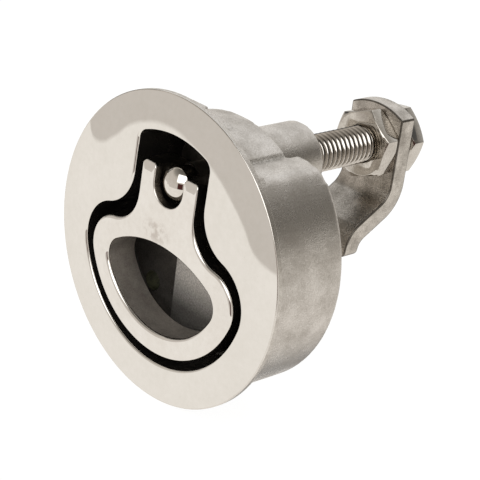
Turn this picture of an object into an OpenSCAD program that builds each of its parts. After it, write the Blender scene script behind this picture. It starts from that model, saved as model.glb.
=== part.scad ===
// Flush pull latch: a lift-and-turn compression latch with a ring handle that lies flush in a round cup.
// The origin is the flange centre on the panel seat. X is to the right, Y goes back into the panel, Z is up.

/* [Flange] */
// Diameter of the round flange
flange_d = 62; // [60.5:0.5:80]
// Thickness of the flange at its rim
rim_t = 1.2; // [0.8:0.1:3]
// Height of the flange's crown over its rim
crown_h = 1; // [0.4:0.1:1.6]
// Bevel round the flange's front edge
rim_edge = 0.25; // [0.1:0.05:0.5]
// Fillet between the flange and the cup
seat_fillet = 0.9; // [0.2:0.1:0.9]
// Width of the anti-turn lug at the top
lug_w = 4.7; // [2:0.1:8]
// Depth of the anti-turn lug behind the flange
lug_l = 3.9; // [1.5:0.1:8]
// Height of the lug's top over the flange centre
lug_z = 29.2; // [28:0.1:30]

/* [Cup] */
// Outside diameter of the cup
cup_d = 57.8; // [57:0.1:59]
// Depth of the cup behind the panel seat
cup_l = 17.9; // [16.2:0.1:24]
// Height of the flat on the cup's top
cup_flat_z = 21.2; // [19.5:0.1:22]
// Outside width of the cup's neck
neck_w = 24.8; // [23.4:0.2:27]
// Outside radius of the neck's top
neck_r = 25.1; // [24.6:0.1:27]
// Depth of the neck behind the panel seat
neck_l = 15.1; // [13:0.1:16]
// Radius of the clear ground round the boss, on the back of the cup
ground_r = 15; // [12:0.5:17]
// Depth of the pocket's floor behind the panel seat
floor_y = 10.4; // [9.8:0.1:12]
// Bevel round the back of the cup
cup_bevel = 0.5; // [0.2:0.1:1]

/* [Pocket outline] */
// Half the width of the pocket's neck
pocket_neck = 10; // [9.6:0.1:11]
// Radius of the pocket's round lobe
pocket_r = 23.3; // [22.8:0.1:24]
// Radius of the pocket's shoulders
pocket_shoulder = 8.9; // [7:0.1:10]
// Radius of the pocket's waist
pocket_waist = 9.4; // [8:0.1:11]
// Height of the waist over the flange centre
pocket_waist_z = 13; // [12:0.1:14]
// Radius of the pocket's upper corners
pocket_corner = 2.3; // [1:0.1:4]

/* [Handle outline] */
// Half the width across the handle's ears
ear_half = 7.8; // [7:0.1:8.2]
// Radius of the handle's ring
ring_r = 21.5; // [20:0.1:22]
// Radius of the ring's shoulders
ring_shoulder = 7; // [5.5:0.1:8]
// Radius of the handle's waist
ring_waist = 8.2; // [7:0.1:9.5]
// Height of the handle's waist over the flange centre
ring_waist_z = 9.9; // [9:0.1:11]
// Thickness of the ring, from the flange's rim plane back
ring_t = 6.3; // [5:0.1:7]
// Radius of the finger opening's lower edge
finger_r = 17; // [15:0.1:18]
// Height of the finger opening's crest over the flange centre
finger_top = 1; // [-1:0.1:2]
// Radius of the finger opening's upper edge
finger_crown = 26; // [22:0.5:40]
// Corner radius of the finger opening
finger_corner = 4.1; // [2.5:0.1:5]
// Clearance of the slot between the ears from the spindle's head, on each side
slot_gap = 0.6; // [0.3:0.1:1]

/* [Mechanism] */
// Height of the spindle's axis over the flange centre
axis_z = 13.6; // [13.2:0.1:13.9]
// Depth of the pivot pin behind the panel seat
pivot_y = 3.4; // [3:0.1:3.8]
// Diameter of the pivot pin
pin_d = 3.2; // [2.5:0.1:4]
// How far lifting the handle lets the spindle go back
stroke = 2; // [1:0.1:2.2]
// Full lift of the handle in degrees
lift_angle = 90; // [80:1:90]
// Running gap between the handle's heels and the bush
heel_gap = 0.3; // [0.2:0.05:0.4]

/* [Spindle] */
// Outside diameter of the spindle's thread and shank
spindle_d = 7.9; // [7.4:0.1:7.9]
// Diameter of the spindle's domed head
head_d = 7; // [6.6:0.1:7.6]
// Height of the head's dome
dome_h = 2; // [1:0.1:2.6]
// Place of the dome's crest in front of the panel seat
crest_front = 2; // [1.6:0.1:2.2]
// How far the spindle stands out behind the outer nut
spindle_tail = 2; // [0.5:0.1:6]

/* [Boss and bush] */
// Thickness of the boss's wall round the spring chamber
boss_side = 1.55; // [1.3:0.05:3]
// Depth of the boss's end behind the panel seat
boss_l = 32; // [30.5:0.1:45]
// Least thickness of the bush round the groove of the shaft seal
bush_wall = 0.5; // [0.4:0.05:0.7]
// Thickness of the boss's end wall
boss_wall = 2.5; // [2:0.1:5.5]
// Thickness of the bush's flange
bush_flange_t = 2; // [1.4:0.1:2.3]
// How far the bush's flange stands out round the chamber
bush_lip = 2.8; // [1.5:0.1:3.3]
// Length of the bush in the chamber
bush_l = 6; // [5:0.1:6.5]
// Cord thickness of the shaft seal
seal_t = 1.4; // [1:0.1:1.5]

/* [Spring] */
// Wire thickness of the spring
wire_d = 1; // [0.7:0.1:1.1]
// Gap between the coils of the spring
coil_gap = 0.3; // [0.2:0.1:1.5]
// Thickness of the spring's washer
washer_t = 1; // [0.6:0.1:1.2]
// Thickness of the retaining ring
clip_t = 1; // [0.6:0.1:1.1]
// How far the retaining ring stands out round the spindle
clip_w = 1.45; // [1:0.05:1.6]
// Depth of the retaining ring's groove
clip_groove = 0.65; // [0.4:0.05:0.9]

/* [Cam bar and nuts] */
// Depth of the bar's clamping face behind the panel seat
bar_y = 54.1; // [50:0.1:70]
// Thickness of the bar
bar_t = 4; // [2.5:0.1:5]
// Width of the bar
bar_w = 14.2; // [13:0.1:18]
// Radius of the bar's rounded upper end
bar_end_r = 15; // [12:0.5:30]
// Height of the bar's upper end over the spindle's axis
bar_crest = 8.5; // [8:0.1:11]
// How far the bar's tongue steps towards the panel
bar_step = 11.4; // [8:0.1:16]
// How far the bar's knee lies below the spindle's axis
bar_knee = 10.1; // [9:0.1:12]
// Slope of the bar's oblique part from straight down, in degrees
bar_slope = 60; // [45:1:65]
// Inside radius of the bar's upper bend
bend_upper = 4.6; // [2:0.1:5]
// Inside radius of the bar's lower bend
bend_lower = 3; // [1.5:0.1:4]
// Reach of the bar's tongue below the spindle's axis
bar_reach = 21.8; // [20:0.1:60]
// Width of the nuts across their flats
nut_af = 13.6; // [12:0.1:14]
// Thickness of the nuts
nut_t = 4; // [3:0.1:6.5]
// Turn of the inner nut about the spindle, in degrees
inner_turn = -20; // [-30:0.5:30]
// Turn of the outer nut about the spindle, in degrees
outer_turn = -10; // [-30:0.5:30]

/* [Mounting screws] */
// Diameter of the screw holes in the pocket's floor
screw_d = 4.2; // [3:0.1:4.5]
// Distance of each screw hole to the side
screw_x = 14.6; // [13:0.1:15]
// Distance of the screw holes below the flange centre
screw_z = 14.9; // [12:0.1:15]

/* [Hidden] */
$fn = 96;
// Angle between neighbouring points of an arc
arc_step = 3;
// Overlap of a cut with the face it starts at
eps = 0.5;
// Radial clearance of a running fit
running = 0.05;
// Radial clearance of a press fit drawn free
press = 0.02;
// Clearance between faces of pieces that move past each other
free_gap = 0.3;
// Clearance of the pieces in the spring chamber from what they rest on
rest_gap = 0.1;
rim_front = -rim_t;
crown_r = (pow(flange_d / 2, 2) + pow(crown_h, 2)) / (2 * crown_h);
// How far the cup, its fillet and the lug reach into the flange
sink = rim_t * 0.4;
ring_back = ring_t - rim_t;
slot_half = head_d / 2 + slot_gap;
chamber_d = spindle_d + 2 * (seal_t + 3 * running + bush_wall);
boss_d = chamber_d + 2 * boss_side;
bush_flange_d = chamber_d + 2 * bush_lip;
bearing_y = floor_y - bush_flange_t;
heel_0 = bearing_y - pivot_y - heel_gap;
heel_rate = -stroke / lift_angle * 180 / PI;
heel_1 = heel_0 - stroke;
ear_top = axis_z + heel_1;
bar_back = bar_y + bar_t;
tail_y = bar_back + nut_t + spindle_tail;
bush_end = floor_y + bush_l;
chamber_end = boss_l - boss_wall;
clip_y = chamber_end - 2 * free_gap - stroke - clip_t;
washer_y = clip_y - washer_t;
spring_room = washer_y - bush_end;
clip_groove_d = spindle_d - 2 * clip_groove;
clip_d = spindle_d + 2 * clip_w;
spring_r = (spindle_d / 2 + chamber_d / 2) / 2 + 0.15;
head_shoulder = bearing_y - rest_gap;
relief_r = max(crest_front + pivot_y, norm([crest_front - dome_h + pivot_y, head_d / 2])) + free_gap;

// Centre of a shoulder arc that touches the lobe's arc inside and the waist's arc outside
function shoulder_centre(neck, lobe, shoulder, waist, waist_z) =
    let (cw = [neck + waist, waist_z], reach = norm(cw), inner = lobe - shoulder, outer = waist + shoulder,
         along = (inner * inner + reach * reach - outer * outer) / (2 * reach),
         across = sqrt(inner * inner - along * along), u = cw / reach)
    along * u + across * [u[1], -u[0]];

// A point of the handle's heel, seen from the pivot, that touches the bush at the lift angle a
function heel_point(a) =
    let (h = heel_0 - stroke * a / lift_angle)
    [pivot_y + h * cos(a) - heel_rate * sin(a), axis_z + h * sin(a) + heel_rate * cos(a)];

// Turns a drawing of the X-Z plane into a solid from y0 back to y1
module slab(y0, y1) {
    translate([0, y1, 0]) rotate([90, 0, 0]) linear_extrude(y1 - y0) children();
}

// A round bar along Y, at the spindle's axis unless z says otherwise
module rod(d, y0, y1, x = 0, z = axis_z) {
    translate([x, y1, z]) rotate([90, 0, 0]) cylinder(d = d, h = y1 - y0);
}

// Turns a profile of radius and depth round the spindle's axis
module turned() {
    translate([0, 0, axis_z]) rotate([-90, 0, 0]) rotate_extrude() children();
}

// Points of an arc about c from the angle a0 to the angle a1
function arc(c, r, a0, a1) =
    let (n = max(2, ceil(abs(a1 - a0) / arc_step)))
    [for (i = [0:n]) c + r * [cos(a0 + (a1 - a0) * i / n), sin(a0 + (a1 - a0) * i / n)]];

// Angle of the point p seen from c
function angle(c, p) = atan2(p[1] - c[1], p[0] - c[0]);

// The left half of a closed outline, mirrored from its right half and in the other order
function mirrored(points) = [for (i = [len(points) - 1:-1:0]) [-points[i][0], points[i][1]]];

// The right half of the keyhole form shared by the pocket and the handle, from its foot to its neck
function keyhole(neck, lobe, shoulder, waist, waist_z) =
    let (cs = shoulder_centre(neck, lobe, shoulder, waist, waist_z), cw = [neck + waist, waist_z])
    concat(arc([0, 0], lobe, -90, angle([0, 0], cs)),
           arc(cs, shoulder, angle([0, 0], cs), angle(cs, cw)),
           arc(cw, waist, angle(cw, cs) + 360, 180));

// The pocket's outline, closed at the top by an arc about the flange centre
module pocket_outline() {
    cx = pocket_neck - pocket_corner;
    corner = [cx, sqrt(pow(pocket_r - pocket_corner, 2) - cx * cx)];
    half = concat(keyhole(pocket_neck, pocket_r, pocket_shoulder, pocket_waist, pocket_waist_z),
                  arc(corner, pocket_corner, 0, angle([0, 0], corner)),
                  arc([0, 0], pocket_r, angle([0, 0], corner), 90));
    polygon(concat(half, mirrored(half)));
}

// The finger opening: a lens with rounded corners
module finger_outline() {
    crown_c = [0, finger_top - finger_crown];
    inner = finger_r - finger_corner;
    upper = finger_crown - finger_corner;
    cz = (inner * inner - upper * upper + pow(crown_c[1], 2)) / (2 * crown_c[1]);
    corner = [sqrt(inner * inner - cz * cz), cz];
    half = concat(arc([0, 0], finger_r, -90, angle([0, 0], corner)),
                  arc(corner, finger_corner, angle([0, 0], corner), angle(crown_c, corner)),
                  arc(crown_c, finger_crown, angle(crown_c, corner), 90));
    polygon(concat(half, mirrored(half)));
}

// A round disc whose crowned front is shared by the flange and the handle, out to r and back to y1
module crowned(r, y1) {
    front = rim_front - crown_h;
    rotate([-90, 0, 0]) rotate_extrude() intersection() {
        polygon([[0, front], [r - rim_edge - crown_h, front], [r, rim_front + rim_edge], [r, y1], [0, y1]]);
        translate([0, front + crown_r]) circle(crown_r, $fn = 1800);
    }
}

module housing() {
    color([0.72, 0.69, 0.66]) difference() {
        union() {
            flange();
            cup();
            rod(boss_d, floor_y, boss_l);
        }
        slab(rim_front - crown_h - eps, floor_y) pocket_outline();
        rod(chamber_d, floor_y - eps, chamber_end);
        rod(spindle_d + 2 * free_gap, chamber_end - eps, boss_l + eps);
        for (s = [-1, 1]) {
            rod(screw_d, floor_y - eps, cup_l + eps, s * screw_x, -screw_z);
        }
    }
}

// The round flange with its crown, its rim and the fillet down to the cup
module flange() {
    root = cup_d / 2 + seat_fillet;
    crowned(flange_d / 2, 0);
    intersection() {
        rotate([-90, 0, 0]) rotate_extrude() difference() {
            translate([0, -sink]) square([root, seat_fillet + sink]);
            translate([root, seat_fillet]) circle(seat_fillet);
        }
        below_flat();
    }
    translate([-lug_w / 2, -sink, axis_z]) cube([lug_w, lug_l + sink, lug_z - axis_z]);
}

// Everything below the flat on the cup's top
module below_flat() {
    translate([-flange_d, -eps - rim_t, -flange_d]) cube([2 * flange_d, cup_l + rim_t + 2 * eps, flange_d + cup_flat_z]);
}

// The cup: a drum with a flat top, a neck that stands over it and clear ground round the boss
module cup() {
    difference() {
        intersection() {
            rotate([-90, 0, 0]) rotate_extrude() polygon([[0, -sink], [cup_d / 2, -sink],
                [cup_d / 2, cup_l - cup_bevel], [cup_d / 2 - cup_bevel, cup_l], [0, cup_l]]);
            below_flat();
        }
        rod(2 * ground_r, neck_l, cup_l + eps);
    }
    intersection() {
        rod(2 * neck_r, -sink, neck_l, 0, 0);
        translate([-neck_w / 2, -sink, 0]) cube([neck_w, neck_l + sink, neck_r]);
    }
}

module pull_handle() {
    color([0.80, 0.77, 0.74]) difference() {
        intersection() {
            union() {
                slab(rim_front - crown_h, ring_back) handle_outline();
                ears();
            }
            crowned(flange_d / 2, floor_y);
        }
        slab(rim_front - crown_h - eps, floor_y) finger_outline();
        slab(rim_front - crown_h - eps, floor_y) slot_outline();
        intersection() {
            translate([0, pivot_y, axis_z]) sphere(relief_r);
            translate([-slot_half, -floor_y, 0]) cube([2 * slot_half, 3 * floor_y, 2 * axis_z]);
        }
        pin_bore(ear_half + eps);
    }
}

module handle_outline() {
    half = concat(keyhole(ear_half, ring_r, ring_shoulder, ring_waist, ring_waist_z), [[ear_half, ear_top]]);
    polygon(concat(half, mirrored(half)));
}

// The slot between the ears, round at its lower end
module slot_outline() {
    half = concat(arc([0, axis_z - free_gap], slot_half, -90, 0), [[slot_half, axis_z + 2 * slot_half]]);
    polygon(concat(half, mirrored(half)));
}

// The two ears with their heels, whose curve lets the spindle go back evenly as the handle lifts
module ears() {
    step = lift_angle / 18;
    foot = axis_z - heel_0;
    points = [[rim_front - crown_h, ear_top], [heel_point(lift_angle)[0], ear_top],
              for (a = [lift_angle:-step:0]) heel_point(a),
              [pivot_y + heel_0, foot + 0.6], [pivot_y + heel_0 - 1, foot - 0.4],
              [ring_back, ring_waist_z - ring_waist / 2], [rim_front - crown_h, ring_waist_z - ring_waist / 2]];
    rotate([90, 0, 90]) translate([0, 0, -ear_half]) linear_extrude(2 * ear_half) polygon(points);
}

// The bore of the pivot pin, out to x on each side
module pin_bore(x) {
    translate([-x, pivot_y, axis_z]) rotate([0, 90, 0]) cylinder(d = pin_d + 2 * running, h = 2 * x);
}

module pivot_pin() {
    color([0.66, 0.65, 0.64]) translate([-ear_half + rest_gap, pivot_y, axis_z]) rotate([0, 90, 0])
        cylinder(d = pin_d, h = 2 * (ear_half - rest_gap));
}

module spindle() {
    dome_r = (pow(head_d / 2, 2) + pow(dome_h, 2)) / (2 * dome_h);
    tip = spindle_d / 2 * 0.15;
    color([0.70, 0.68, 0.66]) difference() {
        union() {
            intersection() {
                rod(head_d, -crest_front, head_shoulder);
                union() {
                    translate([0, dome_r - crest_front, axis_z]) sphere(dome_r);
                    rod(3 * head_d, dome_r - crest_front, head_shoulder + eps);
                }
            }
            turned() polygon([[0, head_shoulder], [spindle_d / 2, head_shoulder], [spindle_d / 2, clip_y],
                [clip_groove_d / 2, clip_y], [clip_groove_d / 2, clip_y + clip_t + rest_gap],
                [spindle_d / 2, clip_y + clip_t + rest_gap], [spindle_d / 2, tail_y - tip],
                [spindle_d / 2 - tip, tail_y], [0, tail_y]]);
        }
        pin_bore(head_d);
    }
}

// The bush that the handle's heels bear on, with the groove of the shaft seal in its bore
module thrust_bush() {
    bore = spindle_d / 2 + running;
    seal_y = floor_y + bush_l / 2;
    groove_r = spindle_d / 2 + seal_t + 3 * running;
    color([0.62, 0.61, 0.60]) turned() polygon([[bore, bearing_y], [bush_flange_d / 2, bearing_y],
        [bush_flange_d / 2, floor_y], [chamber_d / 2 - press, floor_y], [chamber_d / 2 - press, bush_end],
        [bore, bush_end], [bore, seal_y + seal_t / 2 + rest_gap], [groove_r, seal_y + seal_t / 2 + rest_gap],
        [groove_r, seal_y - seal_t / 2 - rest_gap], [bore, seal_y - seal_t / 2 - rest_gap]]);
}

module shaft_seal() {
    color([0.10, 0.10, 0.10]) turned() translate([spindle_d / 2 + running + seal_t / 2, floor_y + bush_l / 2])
        circle(d = seal_t, $fn = 48);
}

// The spring, wound about the spindle between the bush and its washer
module return_spring() {
    sides = 8;
    steps = 14;
    r = wire_d / 2;
    y0 = bush_end + rest_gap + r;
    rise = spring_room - 2 * rest_gap - 2 * r;
    rings = floor(rise / (wire_d + coil_gap) * steps);
    points = [for (i = [0:rings], k = [0:sides - 1])
        let (a = 360 * i / steps, b = 360 * k / sides, q = spring_r + r * cos(b))
        [q * cos(a), y0 + rise * i / rings + r * sin(b), axis_z + q * sin(a)]];
    walls = [for (i = [0:rings - 1], k = [0:sides - 1])
        let (n = (k + 1) % sides)
        [i * sides + k, (i + 1) * sides + k, (i + 1) * sides + n, i * sides + n]];
    ends = [[for (k = [0:sides - 1]) k], [for (k = [sides - 1:-1:0]) rings * sides + k]];
    color([0.55, 0.55, 0.56]) polyhedron(points, concat(walls, ends));
}

module spring_washer() {
    outer = chamber_d / 2 - free_gap - rest_gap;
    inner = spindle_d / 2 + running;
    color([0.60, 0.60, 0.60]) turned() translate([inner, washer_y]) square([outer - inner, washer_t]);
}

// The retaining ring, open at the bottom so that it snaps over its groove
module retaining_ring() {
    gap = clip_groove_d * 0.7;
    color([0.35, 0.35, 0.36]) slab(clip_y, clip_y + clip_t) translate([0, axis_z]) difference() {
        circle(d = clip_d);
        circle(d = clip_groove_d + 2 * running);
        translate([-gap / 2, -clip_d]) square([gap, clip_d]);
    }
}

// The bar's side profile, with the depth as its first axis and the height as its second
module bar_profile() {
    lean = tan(bar_slope / 2);
    tongue_y = bar_y - bar_step;
    knee_z = axis_z - bar_knee;
    foot_z = knee_z - bar_step / tan(bar_slope);
    upper = [bar_y - bend_upper, knee_z + bend_upper * lean];
    lower = [tongue_y + bend_lower + bar_t, foot_z - (bend_lower + bar_t) * lean];
    top = axis_z + bar_crest + eps;
    low = axis_z - bar_reach;
    polygon(concat([[bar_y, top]], arc(upper, bend_upper, 0, -bar_slope),
        arc(lower, bend_lower + bar_t, 180 - bar_slope, 180), [[tongue_y, low], [tongue_y + bar_t, low]],
        arc(lower, bend_lower, 180, 180 - bar_slope), arc(upper, bend_upper + bar_t, -bar_slope, 0),
        [[bar_back, top]]));
}

module cam_bar() {
    tip_r = 1.5;
    color([0.68, 0.66, 0.64]) difference() {
        intersection() {
            rotate([90, 0, 90]) translate([0, 0, -bar_w / 2]) linear_extrude(bar_w) bar_profile();
            union() {
                rod(2 * bar_end_r, bar_y - eps, bar_back + eps, 0, axis_z + bar_crest - bar_end_r);
                slab(0, bar_back + eps) bar_face(tip_r);
            }
        }
        rod(spindle_d + 4 * running, bar_y - eps, bar_back + eps);
    }
}

// The bar seen from the front, below the spindle's axis, with its rounded tip
module bar_face(tip_r) {
    low = axis_z - bar_reach;
    translate([-bar_w / 2, low + tip_r]) square([bar_w, bar_reach - tip_r]);
    translate([tip_r - bar_w / 2, low]) square([bar_w - 2 * tip_r, 2 * tip_r]);
    for (s = [-1, 1]) translate([s * (bar_w / 2 - tip_r), low + tip_r]) circle(tip_r);
}

// A thin hexagon nut with bevelled corners, from y0 back
module nut(y0, turn) {
    corner = nut_af / 2 / cos(30);
    face = nut_af / 2 * 0.97;
    past = corner + eps;
    drop = (past - face) * tan(30);
    difference() {
        intersection() {
            translate([0, y0 + nut_t, axis_z]) rotate([90, turn, 0]) cylinder(r = corner, h = nut_t, $fn = 6);
            turned() polygon([[0, y0], [face, y0], [past, y0 + drop], [past, y0 + nut_t - drop],
                [face, y0 + nut_t], [0, y0 + nut_t]]);
        }
        rod(spindle_d + 2 * running, y0 - eps, y0 + nut_t + eps);
    }
}

module inner_nut() {
    color([0.76, 0.74, 0.72]) nut(bar_y - nut_t, inner_turn);
}

module outer_nut() {
    color([0.76, 0.74, 0.72]) nut(bar_back, outer_turn);
}

housing();
pull_handle();
pivot_pin();
spindle();
thrust_bush();
shaft_seal();
return_spring();
spring_washer();
retaining_ring();
cam_bar();
inner_nut();
outer_nut();
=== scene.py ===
"""The looks of a round flush pull latch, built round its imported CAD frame.

Lengths in the dataclasses are in millimetres and become metres where a mesh is made. The latch looks along -Y:
its flange faces -Y, its spindle runs back along +Y and the ring's pivot is near the top.
"""

import logging
import math
from collections.abc import Callable, Iterable, Sequence
from dataclasses import dataclass, field
from enum import Enum

import bmesh
import bpy
from mathutils import Matrix, Vector
from mathutils.geometry import delaunay_2d_cdt

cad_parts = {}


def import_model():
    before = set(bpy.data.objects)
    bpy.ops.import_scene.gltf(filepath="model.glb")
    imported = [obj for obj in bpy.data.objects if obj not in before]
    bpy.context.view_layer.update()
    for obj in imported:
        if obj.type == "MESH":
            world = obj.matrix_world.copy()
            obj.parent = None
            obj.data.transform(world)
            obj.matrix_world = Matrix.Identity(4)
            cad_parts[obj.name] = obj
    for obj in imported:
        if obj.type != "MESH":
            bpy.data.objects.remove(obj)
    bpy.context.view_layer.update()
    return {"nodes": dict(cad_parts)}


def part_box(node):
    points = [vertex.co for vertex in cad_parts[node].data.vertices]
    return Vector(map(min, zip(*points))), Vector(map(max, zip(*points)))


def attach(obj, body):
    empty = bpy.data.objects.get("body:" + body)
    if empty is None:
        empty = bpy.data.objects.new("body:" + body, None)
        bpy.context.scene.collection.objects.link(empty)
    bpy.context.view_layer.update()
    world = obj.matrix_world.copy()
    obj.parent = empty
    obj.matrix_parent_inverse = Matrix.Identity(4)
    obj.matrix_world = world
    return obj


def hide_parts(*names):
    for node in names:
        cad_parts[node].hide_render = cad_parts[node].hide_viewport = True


LOG = logging.getLogger("latch")
MM = 0.001
FRAME_PIXELS = 480

Point2 = tuple[float, float]
Colour = tuple[float, float, float]


class Body(Enum):
    """The CAD bodies that pieces ride on."""

    CUP = "cup"
    SPINDLE = "spindle_group"
    HANDLE = "handle"


def linear(hex_colour: str) -> tuple[float, float, float, float]:
    """Turns a six-digit sRGB colour into linear light.

    Args:
        hex_colour: Six hexadecimal digits, without a hash sign.

    Returns:
        Red, green, blue and an alpha of 1.
    """
    channels = [int(hex_colour[i : i + 2], 16) / 255 for i in (0, 2, 4)]
    lit = [c / 12.92 if c <= 0.04045 else ((c + 0.055) / 1.055) ** 2.4 for c in channels]
    return lit[0], lit[1], lit[2], 1.0


# Sizes


@dataclass(frozen=True)
class Keyhole:
    """A keyhole outline: a round lobe, shoulders, and a waist that leads up into a neck."""

    neck: float
    lobe: float
    shoulder: float
    waist: float
    waist_z: float


@dataclass(frozen=True)
class Sizes:
    """The latch's driving sizes, in millimetres."""

    flange_r: float = 31.0
    rim_front: float = -1.2
    crown_h: float = 1.0
    rim_edge: float = 0.25
    cup_r: float = 28.9
    fillet_r: float = 0.9
    axis_z: float = 13.6
    floor_y: float = 10.4
    pocket_corner: float = 2.3
    pocket_edge: float = 0.5
    floor_fillet: float = 0.25
    ear_corner: float = 0.8
    ear_slope: float = 0.5
    ear_scoop: float = 1.3
    ear_drop: float = 0.5
    ring_edge: float = 0.7
    ear_edge: float = 0.22
    flat_z: float = 21.2
    neck_r: float = 25.1
    neck_half: float = 12.4
    cup_back: float = 17.9
    face_depth: float = -0.3
    ear_top: float = 16.3
    slot_half: float = 4.1
    slot_drop: float = 0.3
    finger_r: float = 17.0
    finger_top: float = 1.0
    finger_crown: float = 26.0
    finger_corner: float = 4.1
    chamber_r: float = 6.0
    screw_r: float = 2.1
    screw_x: float = 14.6
    screw_z: float = -14.9
    head_r: float = 3.5
    dome_h: float = 2.0
    crest_front: float = 2.0
    head_back: float = 3.0
    thread_r: float = 3.95
    thread_pitch: float = 1.25
    thread_depth: float = 0.76
    thread_start: float = 27.5
    pocket: Keyhole = Keyhole(10.0, 23.3, 8.9, 9.4, 13.0)
    ring: Keyhole = Keyhole(7.8, 21.5, 7.0, 8.2, 9.9)

    @property
    def crown_r(self) -> float:
        """Radius of the sphere that the flange and the handle share as their front."""
        return (self.flange_r**2 + self.crown_h**2) / (2 * self.crown_h)

    @property
    def crown_y(self) -> float:
        """Depth of that sphere's centre."""
        return self.rim_front - self.crown_h + self.crown_r


SIZES = Sizes()


# Outlines


@dataclass
class Outline:
    """A closed or open outline in the X-Z plane, with the outward direction at each point."""

    points: list[Vector] = field(default_factory=list)
    normals: list[Vector] = field(default_factory=list)

    def arc(self, centre: Point2, r: float, start: float, end: float, side: int = 1) -> None:
        """Adds an arc.

        Args:
            centre: The arc's centre.
            r: Its radius.
            start: Angle of its first point, in degrees.
            end: Angle of its last point.
            side: 1 where the outline bulges out, -1 where it is hollow.
        """
        step = 3.0
        count = max(2, math.ceil(abs(end - start) / step))
        for i in range(count + 1):
            a = math.radians(start + (end - start) * i / count)
            way = Vector((math.cos(a), math.sin(a)))
            point = Vector(centre) + r * way
            if self.points and (point - self.points[-1]).length < 1e-4:
                continue
            self.points.append(point)
            self.normals.append(side * way)

    def mirrored(self) -> "Outline":
        """Closes a right half with its mirror image."""
        whole = Outline(list(self.points), list(self.normals))
        for p, n in zip(reversed(self.points), reversed(self.normals)):
            if abs(p.x) > 1e-4:
                whole.points.append(Vector((-p.x, p.y)))
                whole.normals.append(Vector((-n.x, n.y)))
        return whole

    def moved(self, out: float, share: Callable[[Vector], float] = lambda _: 1.0) -> list[Vector]:
        """The outline's points, moved outwards by a distance times a share that may change along it."""
        return [p + n * out * share(p) for p, n in zip(self.points, self.normals)]


def bearing(start: Point2, end: Point2) -> float:
    """Angle of one point seen from another, in degrees."""
    return math.degrees(math.atan2(end[1] - start[1], end[0] - start[0]))


def keyhole_side(k: Keyhole) -> Outline:
    """The right half of a keyhole outline, from its foot to where its neck starts."""
    waist_c = (k.neck + k.waist, k.waist_z)
    reach = math.hypot(*waist_c)
    inner, outer = k.lobe - k.shoulder, k.waist + k.shoulder
    along = (inner**2 + reach**2 - outer**2) / (2 * reach)
    across = math.sqrt(inner**2 - along**2)
    unit = (waist_c[0] / reach, waist_c[1] / reach)
    shoulder_c = (along * unit[0] + across * unit[1], along * unit[1] - across * unit[0])
    side = Outline()
    side.arc((0, 0), k.lobe, -90, bearing((0, 0), shoulder_c))
    side.arc(shoulder_c, k.shoulder, bearing((0, 0), shoulder_c), bearing(shoulder_c, waist_c))
    side.arc(waist_c, k.waist, bearing(waist_c, shoulder_c) + 360, 180, -1)
    return side


def pocket_outline(s: Sizes) -> Outline:
    """The pocket's edge, with its outward direction pointing into the flange."""
    side = keyhole_side(s.pocket)
    cx = s.pocket.neck - s.pocket_corner
    corner = (cx, math.sqrt((s.pocket.lobe - s.pocket_corner) ** 2 - cx**2))
    turn = bearing((0, 0), corner)
    side.arc(corner, s.pocket_corner, 0, turn)
    side.arc((0, 0), s.pocket.lobe, turn, 90)
    return side.mirrored()


def handle_outline(s: Sizes) -> Outline:
    """The handle's edge, round its ears and down the slot between them."""
    side = keyhole_side(s.ring)
    r, top = s.ear_corner, s.ear_top - s.ear_corner
    side.arc((s.ring.neck - r, top), r, 0, 90)
    side.arc((s.slot_half + r, top), r, 90, 180)
    side.arc((0, s.axis_z - s.slot_drop), s.slot_half, 0, -90, -1)
    return side.mirrored()


def finger_outline(s: Sizes) -> Outline:
    """The finger opening's edge, with its outward direction pointing into the handle."""
    crown_c = (0, s.finger_top - s.finger_crown)
    inner, upper = s.finger_r - s.finger_corner, s.finger_crown - s.finger_corner
    cz = (inner**2 - upper**2 + crown_c[1] ** 2) / (2 * crown_c[1])
    corner = (math.sqrt(inner**2 - cz**2), cz)
    side = Outline()
    side.arc((0, 0), s.finger_r, -90, bearing((0, 0), corner))
    side.arc(corner, s.finger_corner, bearing((0, 0), corner), bearing(crown_c, corner))
    side.arc(crown_c, s.finger_crown, bearing(crown_c, corner), 90)
    return side.mirrored()


def ring_outline(centre: Point2, r: float) -> Outline:
    """A whole circle, with its outward direction away from its centre."""
    whole = Outline()
    whole.arc(centre, r, 0, 360)
    if (whole.points[0] - whole.points[-1]).length < 1e-4:
        whole.points.pop()
        whole.normals.pop()
    return whole


# Meshes


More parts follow.
